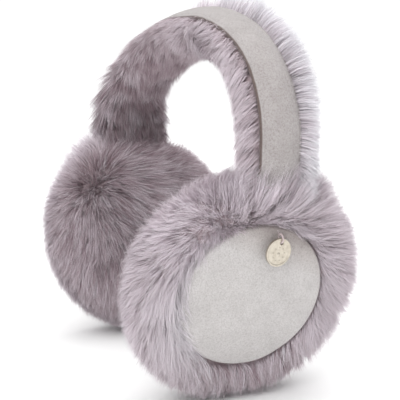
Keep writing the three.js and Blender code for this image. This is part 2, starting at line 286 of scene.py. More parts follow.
def suedeMaterial(name, base, shade, speck, mapName, stops):
    # nap in soft patches of 3 to 10 mm, dark specks of 0.5 to 1 mm, finer grain, a bump of short fibres,
    # and tints by the u of the piece's own map, painted shade among them
    material, nodes, links, shader = newMaterial(name)
    place = nodes.new("ShaderNodeTexCoord").outputs["Object"]
    patches = noise(nodes, links, place, 110.0, 3.0, 0.55)
    mottle = noise(nodes, links, place, 1250.0, 3.0, 0.7)
    grain = noise(nodes, links, place, 2600.0, 2.0, 0.6)
    broad = ramp(nodes, [(0.32, shade), (0.68, base)])
    links.new(patches, broad.inputs[0])
    fine = ramp(nodes, [(0.36, speck), (0.50, (0.93, 0.925, 0.92)), (0.64, (1.0, 1.0, 1.0))])
    links.new(mottle, fine.inputs[0])
    colour = mixColours(nodes, links, "MULTIPLY", 1.0, broad.outputs[0], fine.outputs[0])
    specks = ramp(nodes, [(0.36, (0.74, 0.72, 0.71)), (0.5, (1.0, 1.0, 1.0))])
    links.new(grain, specks.inputs[0])
    colour = mixColours(nodes, links, "MULTIPLY", 0.6, colour, specks.outputs[0])
    across = nodes.new("ShaderNodeSeparateXYZ")
    uvMap = nodes.new("ShaderNodeUVMap")
    uvMap.uv_map = mapName
    links.new(uvMap.outputs["UV"], across.inputs[0])
    tint = ramp(nodes, stops)
    links.new(across.outputs["X"], tint.inputs[0])
    colour = mixColours(nodes, links, "MULTIPLY", 1.0, colour, tint.outputs[0])
    links.new(colour, shader.inputs["Base Color"])
    height = nodes.new("ShaderNodeMath")
    height.operation = "ADD"
    links.new(mottle, height.inputs[0])
    links.new(grain, height.inputs[1])
    addRelief(nodes, links, shader, height.outputs[0], 0.35 * mm, 0.9)
    shader.inputs["Roughness"].default_value = 0.92
    shader.inputs["Specular IOR Level"].default_value = 0.15
    shader.inputs["Sheen Weight"].default_value = 0.3
    shader.inputs["Sheen Roughness"].default_value = 0.45
    return material


def goldMaterial(name):
    # pale plate, a little worn: colour and gloss vary over 1 to 3 mm, with fine scratches
    material, nodes, links, shader = newMaterial(name)
    place = nodes.new("ShaderNodeTexCoord").outputs["Object"]
    wear = noise(nodes, links, place, 500.0, 4.0, 0.6)
    colour = ramp(nodes, [(0.3, (0.47, 0.42, 0.345)), (0.7, (0.66, 0.61, 0.525))])
    links.new(wear, colour.inputs[0])
    links.new(colour.outputs[0], shader.inputs["Base Color"])
    gloss = ramp(nodes, [(0.3, (0.28, 0.28, 0.28)), (0.7, (0.45, 0.45, 0.45))])
    links.new(wear, gloss.inputs[0])
    links.new(gloss.outputs[0], shader.inputs["Roughness"])
    shader.inputs["Metallic"].default_value = 0.85
    addRelief(nodes, links, shader, noise(nodes, links, place, 2500.0, 2.0), 0.05 * mm)
    return material


def threadMaterial(name):
    # spun fibres, light and dark over 0.5 mm
    material, nodes, links, shader = newMaterial(name)
    place = nodes.new("ShaderNodeTexCoord").outputs["Object"]
    colour = ramp(nodes, [(0.35, (0.50, 0.40, 0.41)), (0.65, (0.78, 0.68, 0.69))])
    links.new(noise(nodes, links, place, 2600.0, 3.0), colour.inputs[0])
    links.new(colour.outputs[0], shader.inputs["Base Color"])
    shader.inputs["Roughness"].default_value = 0.75
    return material


furStops = [
    (0.0, (0.33, 0.245, 0.25)), (0.25, (0.55, 0.45, 0.475)), (0.6, (0.80, 0.70, 0.755)),
    (0.85, (0.93, 0.85, 0.905)), (1.0, (0.99, 0.95, 0.985)),
]
darkHair, lightHair = (0.36, 0.28, 0.295), (0.915, 0.975, 0.96)
muffFurLook = furMaterial("muff_fur", furStops, darkHair, lightHair)
bandFurLook = furMaterial("band_fur", furStops, darkHair, lightHair)
peltLook = peltMaterial("pelt", (0.36, 0.28, 0.29), (0.54, 0.44, 0.47))
plain = (1.0, 1.0, 1.0)
# the caps' upper edge is darkened by painted shade, the shadow of the fur above it; the strap has a painted
# shadow along its front edge, where the fur meets it, and a brown line beside its rear fold
capShadeStops = [(0.0, plain), (0.76, plain), (0.88, (0.86, 0.83, 0.82)), (0.97, (0.62, 0.57, 0.56))]
capLook = suedeMaterial(
    "cap_suede", (0.655, 0.635, 0.63), (0.60, 0.58, 0.575), (0.80, 0.79, 0.785), "capMap", capShadeStops)
# the first two stops are a painted shadow along the strap's front edge, where the fur meets it
strapStops = [
    (0.0, (0.34, 0.27, 0.25)), (0.014, (0.34, 0.27, 0.25)), (0.034, plain),
    (0.898, plain), (0.91, (0.60, 0.52, 0.48)), (0.922, plain),
]
strapLook = suedeMaterial(
    "strap_suede", (0.46, 0.432, 0.43), (0.405, 0.376, 0.373), (0.76, 0.745, 0.735), "strapMap", strapStops)
charmLook = goldMaterial("pale_gold")
threadLook = threadMaterial("thread")
print("materials made")


fur = {
    "padLight": 0.35,        # how far a hair is lit as the pad under it, the rest as its own face
    "turn": 0.7,             # how far hairs turn about their own length
    "rootDepth": 0.8 * mm,
    "lowest": 0.15 * mm,     # no hair reaches the floor
    "toneSpread": 0.006,     # half the width of a hair on the map
}


def asRows(a):
    return a.reshape(-1, 3)


def growHairs(name, hairs, material, segments=2):
    # each hair is a ribbon along (1-t)^2 root + 2t(1-t) knee + t^2 tip that narrows to a point and
    # faces look; map: u = tone, v = begin + (1 - begin) t
    line = np.stack([hairs["root"], hairs["knee"], hairs["tip"]], axis=1)
    count = len(line)
    t = np.linspace(0.0, 1.0, segments + 1)
    weights = np.stack([(1 - t) ** 2, 2 * t * (1 - t), t**2], axis=-1)
    line = np.einsum("sk,nkc->nsc", weights, line)
    line[..., 2] = np.maximum(line[..., 2], fur["lowest"])
    look = hairs["look"][:, None, :]
    slope = unit(np.gradient(line, axis=1))
    across = unit(np.cross(slope, look))
    half = 0.5 * hairs["width"][:, None, None] * (1.0 - 0.75 * t**1.5)[None, :, None]
    body = np.stack([line - across * half, line + across * half], axis=2)
    body = body[:, :-1].reshape(count, 2 * segments, 3)
    points = np.concatenate([body, line[:, -1:]], axis=1)
    first = (np.arange(count) * (2 * segments + 1))[:, None]
    k = 2 * np.arange(segments - 1)[None, :]
    quads = np.stack([first + k, first + k + 1, first + k + 3, first + k + 2], axis=-1).reshape(-1, 4)
    end = first[:, 0] + 2 * (segments - 1)
    ends = np.stack([end, end + 1, end + 2], axis=-1)
    tone, begin = hairs["tone"], hairs["begin"]
    u = np.stack([tone - fur["toneSpread"], tone + fur["toneSpread"]], axis=-1)
    u = u[:, None, :].repeat(segments, axis=1)
    v = np.broadcast_to((begin[:, None] + (1 - begin[:, None]) * t[None, :-1])[..., None], u.shape)
    pairs = np.stack([u, v], axis=-1).reshape(count, 2 * segments, 2)
    tipMap = np.stack([tone, np.ones(count)], axis=-1)[:, None]
    uv = np.clip(np.concatenate([pairs, tipMap], axis=1).reshape(-1, 2), 0.004, 0.996)
    piece = addPiece(name, asRows(points), [quads, ends], material, uv)
    facing = unit(look - slope * (look * slope).sum(-1, keepdims=True))
    lit = unit(fur["padLight"] * hairs["normal"][:, None, :] + (1 - fur["padLight"]) * facing)
    lit = np.concatenate([np.repeat(lit[:, :-1], 2, axis=1), lit[:, -1:]], axis=1)
    piece.data.normals_split_custom_set_from_vertices(asRows(lit).astype(np.float32))
    print(name, count, "hairs,", count * (2 * segments - 1), "triangles")
    return piece


# The ground the hairs grow from and the form their tips fill, from the middle of the ear
# side round the rim to the cap: radius and height along the muff's axis, in mm. The form
# runs on over the cap's edge for the fur that falls across it.
muffGround = np.array([
    [0.5, -15.5], [13, -15.4], [26, -14.4], [37, -11.6], [45, -7.4], [49.6, -2],
    [51, 4], [50.4, 9.4], [48, 13], [44, 14.8], [40, 14.4], [36.4, 12.4],
]) * mm
muffForm = np.array([
    [1.0, -24.6], [15, -24.6], [29, -23.2], [41.4, -19.2], [50.4, -13], [56.2, -4.5],
    [58.8, 4.5], [58.0, 12.5], [54.4, 18.6], [48.4, 22.2], [43, 22.2], [38.5, 19.8],
    [34, 18.9], [29, 19.7],
]) * mm

muffFur = {
    "tufts": 6300,
    "hairsPerTuft": 8,
    "tuftRadius": 1.2 * mm,
    "width": 0.21 * mm,
    "gather": 0.23,           # how far a tuft's tips draw together
    "under": 0.35,            # share of short hairs
    "lie": 10.5 * mm,         # how far tips lie along the surface, ear side
    "outerLie": 8.5 * mm,     # and outside
    "droop": 5 * mm,
    "swirl": 6 * mm,          # extra downward lie in front of the cap
    "over": 5.5 * mm,         # how far fur falls over the cap's front edge
    "dip": 2.6 * mm,          # how much lower it lies below the cap
    "whorl": (-35 * mm, 39 * mm),   # on the ear side, backwards and up from its middle
    "crest": {"right": 1.5 * mm, "left": 4.5 * mm},   # extra length along the top
    "mane": 8 * mm,           # and over the strap's end
    "hollow": {"right": 2 * mm, "left": 6 * mm},   # how far the fur gives way where the band comes in
    "broadBend": 3.0 * mm, "broadSize": 34 * mm,   # how the lie wanders, over how far
    "closeBend": 1.7 * mm, "closeSize": 11 * mm,
    "tuftStray": 0.8 * mm, "tipStray": 0.95 * mm,
    "kneeRise": 0.40, "kneeRun": 0.22,   # where the bend of a hair is, in shares of its length
    "footHalf": 56 * mm,      # from the middle to where each muff stands
    "clearance": 0.4 * mm,    # of hairs over the floor
}

# Tones run from 0, darkest, to 1. A muff is darker on the ear side and beneath, as painted shade, and
# lighter along its top front, as painted light.
muffTone = {
    "base": 0.52, "patches": 0.07,
    "tuft": 0.025, "tuftEar": 0.20, "tuftBeneath": 0.24,   # spread from tuft to tuft, and what is added
    "hair": 0.055, "hairEar": 0.06,                        # and from hair to hair
    "short": 0.06, "earSide": 0.235, "beneath": 0.19, "topFront": 0.15, "frontEdge": 0.02,
    # capFront: painted light on the fur by the cap's front edge
    "whorl": 0.13, "whorlSize": 14 * mm, "capFront": 0.08,
    "earEdge": {"right": 0.38, "left": 0.48},   # place on the ground where the ear side ends
    # leg: the strength of the painted shade under the band's leg
    "leg": {"right": 0.10, "left": 0.34},       # how much darker it is where the band meets it
}


def alongTable(table):
    # a fine line through the table, its distance from the start, and that distance at each row
    fine = np.linspace(0.0, 1.0, 1201)
    line = splineThrough(table, fine)
    distance = np.concatenate([[0.0], np.cumsum(np.linalg.norm(np.diff(line, axis=0), axis=1))])
    return fine, line, distance, np.interp(np.arange(len(table)) / (len(table) - 1), fine, distance)


def angleFrom(turn, degrees):
    # the signed angle from a direction, within half a turn
    return (turn - math.radians(degrees) + np.pi) % (2 * np.pi) - np.pi


def muffHairs(side, label, part, options):
    # roots spread by area over the ground. The form is unrolled to Q = a (cos turn, sin turn), a the
    # distance along it from the ear side's middle; a tip is the form's point at Q + lie(Q).
    # On the ear side the lie runs away from the whorl, on the outside away from the cap and down.
    seed = 40 + 7 * part + side
    dice = np.random.default_rng(seed)
    tufts = int(options["tufts"] * (1.0))
    each = options["hairsPerTuft"]
    fine, groundLine, groundDistance, _ = alongTable(muffGround)
    _, formLine, formDistance, formRows = alongTable(muffForm)
    steps = np.diff(groundDistance)
    area = np.concatenate([[0.0], np.cumsum(steps * 0.5 * (groundLine[1:, 0] + groundLine[:-1, 0]))])
    place = np.interp(dice.uniform(0, area[-1], tufts), area, fine)
    turn = dice.uniform(0, 2 * np.pi, tufts)
    radiusHere = np.interp(place, fine, groundLine[:, 0])
    spreadR = options["tuftRadius"] * np.sqrt(dice.uniform(0, 1, (tufts, each)))
    spreadA = dice.uniform(0, 2 * np.pi, (tufts, each))
    hairPlace = np.clip(place[:, None] + spreadR * np.cos(spreadA) / groundDistance[-1], 0.0, 1.0)
    hairTurn = turn[:, None] + spreadR * np.sin(spreadA) / np.maximum(radiusHere, 5 * mm)[:, None]
    around = onMuff(side, np.full(tufts, 45 * mm), place * 60 * mm, turn)
    broad = [waves(around, options["broadSize"], seed + k) for k in (3, 4)]
    close = [waves(around, options["closeSize"], seed + k) for k in (6, 7)]
    bend = options["broadBend"] * np.stack(broad, axis=-1)
    bend += options["closeBend"] * np.stack(close, axis=-1)
    bend += dice.normal(0, options["tuftStray"], bend.shape)
    maneMiddle = 90.0 - 10.0 * side

    def tipOf(p, a, share, own):
        # the tip at place p and turn a, at a share of the way from the ground to the form
        formA = np.interp(p * (len(muffGround) - 1), np.arange(len(formRows)), formRows)
        radius = np.interp(formA, formDistance, formLine[:, 0])
        outer = smoothStep(0.42, 0.62, p)
        er = np.stack([np.cos(a), np.sin(a)], axis=-1)
        et = np.stack([-np.sin(a), np.cos(a)], axis=-1)
        fromWhorl = formA[..., None] * er - np.array(options["whorl"])
        far = np.linalg.norm(fromWhorl, axis=-1)
        earLie = options["lie"] * smoothStep(0, 22 * mm, far) * smoothStep(0.56, 0.36, p)
        ear = fromWhorl / np.maximum(far, 1e-6)[..., None] * earLie[..., None]
        earR, earT = (ear * er).sum(-1), (ear * et).sum(-1)
        nearCap = smoothStep(0.82, 0.97, p)
        over = bump(angleFrom(a, 182), 1.0) + 0.5 * bump(angleFrom(a, 105), 0.8)
        over = nearCap * over.clip(0, 1)
        upright = 0.8 * bump(angleFrom(a, 187), 1.3) * smoothStep(0.58, 0.80, p)
        away = options["outerLie"] * (1 - 0.6 * nearCap) * smoothStep(0.45, 0.75, p) * (1 - upright)
        outR = options["droop"] * np.sin(a) * (1 - over) - away * (1 - over) + options["over"] * over
        swirl = options["swirl"] * bump(angleFrom(a, 185), 1.3) * smoothStep(0.55, 0.85, p)
        outT = swirl - options["droop"] * np.cos(a)
        calm = 0.25 + 0.75 * np.maximum(smoothStep(4 * mm, 20 * mm, far), outer)
        lieR = earR * (1 - outer) + outR * outer + own[..., 0] * calm
        lieT = earT * (1 - outer) + outT * outer + own[..., 1] * calm
        q = (formA + lieR)[..., None] * er + (lieT * formA / np.maximum(radius, 6 * mm))[..., None] * et
        a2 = np.clip(np.linalg.norm(q, axis=-1), 0, formDistance[-1])
        turn2 = np.arctan2(q[..., 1], q[..., 0])
        formR = np.interp(a2, formDistance, formLine[:, 0])
        formH = np.interp(a2, formDistance, formLine[:, 1])
        dip = options["dip"] * nearCap * bump(angleFrom(turn2, -50), 1.9)
        crest = options["crest"][label] * np.clip(np.sin(turn2), 0, 1) ** 1.3
        crest = crest * smoothStep(0.3, 0.6, p) * (1 - nearCap)
        mane = options["mane"] * bump(angleFrom(turn2, maneMiddle), 0.62)
        mane = mane * smoothStep(0.4, 0.65, p) * (1 - nearCap)
        rough = waves(np.concatenate([q, 0 * q[..., :1]], axis=-1), 9 * mm, seed + 13)
        hollow = bump(angleFrom(turn2, 84), 0.6) * bump(p - 0.45, 0.19)
        hollow = options["hollow"][label] * hollow * (0.8 + 1.1 * rough)
        formR = formR + crest + mane - hollow
        formH = formH + 0.3 * crest + 0.85 * mane - dip
        form = onMuff(side, formR, formH, turn2)
        groundR, groundH = (np.interp(p, fine, groundLine[:, k]) for k in (0, 1))
        ground = onMuff(side, groundR, groundH, a)
        return ground + (form - ground) * share[..., None], ground

    tuftLength = 0.99 + 0.05 * waves(around, 14 * mm, seed + 5)
    tuftLength = tuftLength + dice.normal(0, 0.05, tufts)
    centreTip, _ = tipOf(place, turn, tuftLength, bend)
    short = dice.uniform(0, 1, (tufts, each)) < options["under"]
    underShare = dice.uniform(0.55, 0.92, (tufts, each))
    share = np.where(short, underShare, dice.uniform(0.92, 1.08, (tufts, each)))
    ownTip, root = tipOf(hairPlace, hairTurn, tuftLength[:, None] * share, bend[:, None])
    gather = np.clip(options["gather"] * (0.5 + dice.uniform(0, 1, (tufts, 1, 1))), 0, 0.9)
    tip = ownTip + (centreTip[:, None] - ownTip) * gather * np.where(short, 0.3, 1.0)[..., None]
    tip += dice.normal(0, options["tipStray"], tip.shape)
    before, after = (
        np.stack([np.interp(hairPlace + d, fine, groundLine[:, k]) for k in (0, 1)], axis=-1)
        for d in (-0.004, 0.004))
    slope = after - before
    slope = unit(np.stack([slope[..., 1], -slope[..., 0]], axis=-1))
    centre, n, u, v = muffAxes(side)
    spoke = np.cos(hairTurn)[..., None] * u + np.sin(hairTurn)[..., None] * v
    normal = unit(spoke * slope[..., :1] + n * slope[..., 1:])
    span = np.linalg.norm(tip - root, axis=-1, keepdims=True)
    knee = root + normal * span * options["kneeRise"] + (tip - root) * options["kneeRun"]
    knee = knee + dice.normal(0, 0.5 * mm, tip.shape)
    root = root - normal * fur["rootDepth"]
    # fur that would go through the resting plane lies down along it
    below = np.maximum(0.0, options["clearance"] - tip[..., 2])
    outwards = tip - np.array([side * options["footHalf"], 0.0, 0.0])
    outwards[..., 2] = 0.0
    tip += unit(outwards) * below[..., None] * 0.9
    tip[..., 2] = np.maximum(tip[..., 2], 0.2 * mm + 0.6 * mm * dice.uniform(0, 1, tip.shape[:2]))
    formA = np.interp(hairPlace * (len(muffGround) - 1), np.arange(len(formRows)), formRows)
    spoke = np.stack([np.cos(hairTurn), np.sin(hairTurn)], axis=-1)
    toWhorl = formA[..., None] * spoke - np.array(options["whorl"])
    tone, begin = muffTones(label, dice, seed, hairPlace, hairTurn, centreTip, toWhorl, short)
    hairs = {
        "root": asRows(root), "knee": asRows(knee), "tip": asRows(tip), "normal": asRows(normal),
        "look": unit(asRows(normal) + fur["turn"] * dice.normal(size=(tufts * each, 3))),
        "width": options["width"] * (0.7 + 0.6 * dice.uniform(0, 1, tufts * each)),
        "tone": np.clip(tone.ravel(), 0.02, 0.98), "begin": begin.ravel(),
    }
    return growHairs(f"muff_hair_{label}_{part}", hairs, muffFurLook)


def muffTones(label, dice, seed, place, turn, centreTip, toWhorl, short):
    # each hair's tone, and begin, the place on the colours along a hair where its root starts:
    # base + waves + random by tuft and by hair, then less or more of each area, as painted shade on the
    # ear side, beneath and under the band's leg, and as painted light along the top front and by the cap's
    # front
    tufts, each = place.shape
    earSide = 1 - smoothStep(-0.11, 0.11, place - muffTone["earEdge"][label])
    beneath = bump(angleFrom(turn, -90), 1.1) * (1 - earSide)
    topFront = bump(angleFrom(turn, 118), 0.65) * (1 - earSide)
    frontEdge = bump(angleFrom(turn, 187), 1.3) * smoothStep(0.6, 0.75, place)
    tuftSpread = muffTone["tuft"] + muffTone["tuftEar"] * earSide + muffTone["tuftBeneath"] * beneath
    hairSpread = muffTone["hair"] + muffTone["hairEar"] * earSide
    tone = muffTone["base"] + muffTone["patches"] * waves(centreTip, 18 * mm, seed + 9)[:, None]
    tone = tone + tuftSpread * dice.normal(size=(tufts, 1))
    tone = tone + hairSpread * dice.normal(size=(tufts, each)) - muffTone["short"] * short
    # painted shade: the ear side and the underside are darkened
    tone = tone - muffTone["earSide"] * earSide - muffTone["beneath"] * beneath
    # painted light: the top front is made lighter
    tone = tone + muffTone["topFront"] * topFront - muffTone["frontEdge"] * frontEdge
    # painted shade where the band's leg comes down onto the muff, mottled
    shadeUnderLeg = np.exp(-(angleFrom(turn, 84) / 0.55) ** 2 - ((place - 0.46) / 0.15) ** 2)
    mottled = 0.8 + 0.8 * waves(centreTip, 9 * mm, seed + 11)[:, None]
    tone = tone - muffTone["leg"][label] * shadeUnderLeg * mottled
    atWhorl = np.exp(-((toWhorl / muffTone["whorlSize"]) ** 2).sum(-1)) * earSide
    # painted light: by the cap's front edge the fur is made lighter, and near the cap the roots start
    # lighter, most in front, where the fur's shadow falls
    atCapFront = bump(angleFrom(turn, 187), 1.2) * smoothStep(0.8, 0.95, place)
    tone = tone - muffTone["whorl"] * atWhorl + muffTone["capFront"] * atCapFront
    capFringe = 0.55 + 0.4 * bump(angleFrom(turn, 187), 1.25)
    capFringe = capFringe * (1 - 0.95 * bump(angleFrom(turn, 103), 0.36))
    outside = (1 - earSide) * (1 - beneath)
    # along the top front the roots also start lighter, as painted light
    begin = 0.19 * np.maximum(0.6 * atWhorl, outside) + 0.24 * topFront * smoothStep(0.45, 0.6, place)
    begin = np.maximum(begin, 0.62 * frontEdge)
    begin = begin + (capFringe - begin) * smoothStep(0.8, 0.95, place)
    return tone, begin


def muffPelt(side, name):
    # the ground turned about the muff's axis, closed under the cap
    columns = 72
    line = splineThrough(muffGround, np.linspace(0.0, 1.0, 48))
    line = np.vstack([line, [[35.9 * mm, 9.9 * mm], [0.0, 9.9 * mm]]])
    line[0, 0] = 0.0
    turn = np.linspace(0, 2 * np.pi, columns, endpoint=False)
    radius, height, turn = np.broadcast_arrays(line[:, :1], line[:, 1:], turn)
    rings = onMuff(side, radius, height, turn)
    points, faces = closedRings(rings if side > 0 else rings[:, ::-1])
    piece = addPiece(name, points, faces, peltLook)
    return piece


for side, label in ((1, "right"), (-1, "left")):
    node = "muff_fur_" + label
    pelt = muffPelt(side, "muff_pelt_" + label)
    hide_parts(node)
    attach(pelt, "root")
    for part in (1, 2):
        hairs = muffHairs(side, label, part, muffFur)
        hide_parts(node)
        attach(hairs, "root")
print("muffs furred")


bandFur = {
    "groundInset": 9.6 * mm, "groundWidth": 13.2 * mm, "groundDepth": 7.8 * mm,
    "formInset": 8.1 * mm,
    "tufts": 5100,
    "hairsPerTuft": 8,
    "tuftRadius": 1.2 * mm,
    "width": 0.21 * mm,
    "gather": 0.28,
    "parting": (0.36, 0.50),     # shares between which the lie turns round
    "from": math.radians(36), "to": math.radians(322),   # the ground between the strap's edges
    "fringeFrom": math.radians(34), "fringe": math.radians(38),
    "fringeShare": 0.22, "farFringeShare": 0.12,
    "tipStray": 0.6 * mm,
    "kneeRise": 0.4, "kneeRun": 0.2,
}

# Tones of the band: the fringe is light; the inside and the far leg are darkened as painted shade, the far
# leg is uneven too, and the far leg's end is darkened as painted shade where it meets the muff.
bandTone = {
    "base": 0.5, "patches": 0.07, "farPatches": 0.13,
    "tuft": 0.04, "farTuft": 0.11, "hair": 0.07,
    "fringe": 0.38, "inside": 0.14, "far": 0.25, "end": 0.22, "front": 0.06,
}

# The outer form of the band's fur in mm: how far it reaches in front and behind, how deep it
# is inside the arch, and how high it stands beside the strap, in front and behind.
bandShape = np.array([
    # share, front, rear, depth, frontShoulder, rearShoulder
    [0.00, 19.0, 21.5, 14.0, 7.0, 15.0],
    [0.12, 18.8, 22.0, 13.4, 7.0, 17.0],
    [0.24, 19.0, 23.0, 12.6, 7.2, 21.5],
    [0.36, 19.8, 23.0, 13.6, 7.4, 24.0],
    [0.44, 19.8, 22.0, 15.0, 7.4, 24.0],
    [0.50, 19.6, 21.5, 15.6, 7.4, 24.2],
    [0.56, 19.2, 21.0, 16.0, 7.4, 23.5],
    [0.63, 18.4, 21.0, 17.2, 7.4, 18.0],
    [0.76, 19.4, 21.5, 17.0, 7.6, 15.0],
    [0.84, 23.0, 21.5, 16.0, 9.0, 15.0],
    [0.92, 26.5, 22.5, 18.5, 10.0, 15.0],
    [1.00, 28.0, 23.0, 25.0, 10.0, 15.0],
])


def bandSection(share, angle, width, depth, inset):
    # centre - inset out + depth cos(angle) out + width sin(angle) Y, and the section's own normal
    point, along, out = bandAt(share, furRoute)
    y = np.array([0.0, 1.0, 0.0])
    c, s = np.cos(angle)[..., None], np.sin(angle)[..., None]
    return point + out * (depth * c - inset) + y * width * s, unit(out * c / depth + y * s / width)


def bandGround(share, angle):
    return bandSection(share, angle, bandFur["groundWidth"], bandFur["groundDepth"], bandFur["groundInset"])


def bandForm(share, angle):
    # the section with the half widths and depths of the table at that share
    front, rear, depth, frontShoulder, rearShoulder = (
        np.interp(share, bandShape[:, 0], bandShape[:, k]) * mm for k in range(1, 6))
    behind = np.sin(angle) > 0
    width = np.where(behind, rear, front)
    depth = np.where(np.cos(angle) > 0, np.where(behind, rearShoulder, frontShoulder), depth)
    return bandSection(share, angle, width[..., None], depth[..., None], bandFur["formInset"])[0]


def bandHairs(name, start, end, seed):
    # roots over the lining from one strap edge under to the other, the lie down the legs and off the strap
    dice = np.random.default_rng(seed)
    tufts = int(bandFur["tufts"] * (1.0))
    each = bandFur["hairsPerTuft"]
    at = dice.uniform(start, end, tufts)
    angle = dice.uniform(bandFur["from"], bandFur["to"], tufts)
    fringeShare = np.where(at < 0.62, bandFur["fringeShare"], bandFur["farFringeShare"])
    fringe = dice.uniform(0, 1, tufts) < fringeShare
    angle = np.where(fringe, bandFur["fringeFrom"] + bandFur["fringe"] * dice.uniform(0, 1, tufts), angle)
    radius = bandFur["tuftRadius"] * np.sqrt(dice.uniform(0, 1, (tufts, each)))
    around = dice.uniform(0, 2 * np.pi, (tufts, each))
    hairAt = at[:, None] + radius * np.cos(around) / furRoute["length"]
    hairAngle = angle[:, None] + radius * np.sin(around) / (9 * mm)
    centrePlace = bandGround(at, angle)[0]
    standing = bump(angle - math.radians(50), 1.0) * (0.55 + 0.45 * smoothStep(0.74, 0.54, at))
    farLeg = smoothStep(0.5, 0.68, at)
    uneven = 0.08 * waves(centrePlace, 16 * mm, seed + 5) + (0.08 + 0.06 * farLeg) * dice.normal(size=tufts)
    uneven += (0.05 + 0.13 * farLeg) * waves(centrePlace, 6 * mm, seed + 8)
    length = 1.0 + np.clip(uneven * (1 - 0.6 * standing), -0.4, 0.4 - 0.32 * standing)
    towardsEnd = 2 * smoothStep(*bandFur["parting"], at) - 1
    lie = 6.0 + 3.0 * waves(centrePlace, 40 * mm, seed + 6) + 7.0 * smoothStep(0.72, 0.95, at)
    lie = lie * (1 - 0.6 * standing) * mm
    lieAlong = lie * towardsEnd / furRoute["length"]
    offStrap = np.where(angle < np.pi, 1.0, -1.0) * np.clip(np.abs(angle - np.pi) / 1.2, 0, 1)
    lieAround = math.radians(22) * offStrap * (1 - 0.8 * standing)
    lieAround = lieAround + 0.16 * waves(centrePlace, 30 * mm, seed + 7)

    def tipOf(s, a, share):
        # the tip at share s of the band and angle a, at a share of the way from the ground to the form
        inner = bandGround(s, a)[0]
        return inner + (bandForm(s, a) - inner) * share[..., None]

    centreTip = tipOf(at + lieAlong, angle + lieAround, length)
    short = dice.uniform(0, 1, (tufts, each)) < 0.35
    underShare = dice.uniform(0.55, 0.92, (tufts, each))
    share = np.where(short, underShare, dice.uniform(0.95, 1.06, (tufts, each)))
    ownTip = tipOf(hairAt + lieAlong[:, None], hairAngle + lieAround[:, None], length[:, None] * share)
    gather = bandFur["gather"] + 0.22 * farLeg[:, None, None]
    gather = np.clip(gather * (0.5 + dice.uniform(0, 1, (tufts, 1, 1))), 0, 0.9)
    gather = gather * np.where(short, 0.3, 1.0)[..., None] * (1 - 0.7 * standing[:, None, None])
    tip = ownTip + (centreTip[:, None] - ownTip) * gather
    tip = tip + dice.normal(0, bandFur["tipStray"], ownTip.shape)
    root, normal = bandGround(hairAt, hairAngle)
    span = np.linalg.norm(tip - root, axis=-1, keepdims=True)
    knee = root + normal * span * bandFur["kneeRise"] + (tip - root) * bandFur["kneeRun"]
    root = root - normal * fur["rootDepth"]
    patches = bandTone["patches"] + bandTone["farPatches"] * farLeg
    tuftSpread = bandTone["tuft"] + bandTone["farTuft"] * farLeg
    inside = bump(angle - np.pi, 1.5)
    inFront = bump(angle - math.radians(300), 0.9) * (1 - farLeg)
    tone = bandTone["base"] + patches * waves(centreTip, 12 * mm, seed + 9)
    tone = tone + tuftSpread * dice.normal(size=tufts)
    # the fringe is lighter; inside the arch is darkened as painted shade
    tone = tone + bandTone["fringe"] * standing - bandTone["inside"] * inside
    # painted shade on the far half and the far leg
    tone = tone - bandTone["far"] * smoothStep(0.40, 0.58, at)
    # painted shade at the far leg's end, where it meets the muff
    tone = tone - bandTone["end"] * smoothStep(0.93, 0.99, at) - bandTone["front"] * inFront
    tone = tone[:, None] + bandTone["hair"] * dice.normal(size=(tufts, each))
    begin = np.repeat(np.maximum(0.55 * standing, 0.12 * inFront), each)
    hairs = {
        "root": asRows(root), "knee": asRows(knee), "tip": asRows(tip), "normal": asRows(normal),
        "look": unit(asRows(normal) + fur["turn"] * dice.normal(size=(tufts * each, 3))),
        "width": bandFur["width"] * (0.75 + 0.5 * dice.uniform(0, 1, tufts * each)),
        "tone": np.clip(tone.ravel(), 0.02, 0.98), "begin": begin,
    }
    return growHairs(name, hairs, bandFurLook)


def bandLining():
    # an ellipse of the ground's size carried along the band and closed at its ends
    share = np.linspace(0.0, 1.0, 130)[:, None]
    angle = np.linspace(0, 2 * np.pi, 36, endpoint=False)[None, :]
    share, angle = np.broadcast_arrays(share, angle)
    shrink = smoothStep(0.0, 0.012, np.minimum(share, 1 - share))[..., None]
    place = bandGround(share, angle)[0]
    middle = place.mean(axis=1, keepdims=True)
    points, faces = closedRings(middle + (place - middle) * shrink)
    piece = addPiece("band_lining", points, faces, peltLook)
    return piece


lining = bandLining()
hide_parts("band_fur")
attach(lining, "root")
for part, (start, end) in enumerate(((0.0, 0.5), (0.5, 1.0))):
    hairs = bandHairs(f"band_hair_{part + 1}", start, end, 80 + part)
    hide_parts("band_fur")
    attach(hairs, "root")
print("band furred")


strap = {
    "width": 20.0 * mm,
    "thickness": 2.6 * mm,
    "dome": 3.0 * mm,        # the middle stands this much above the edges
    "fold": 1.6 * mm,        # width of the turned edge
    "foldDepth": 0.3 * mm,
    "channel": 0.30 * mm,    # half width of the groove beside it
    "ripple": 0.14 * mm, "rippleSize": 26 * mm,
    # share of the way, degrees turned about the path
    "roll": [[0.0, -1], [0.2, -3.5], [0.35, 5.7], [0.5, 9], [0.62, 3], [0.75, 0], [1, 0]],
    # share of the way, mm stood off it
    "lift": [[0.0, 0], [0.3, 0], [0.42, 1.2], [0.55, 1.6], [0.68, 0.8], [0.8, 0], [1, 0]],
    "along": 240, "around": 64,
}


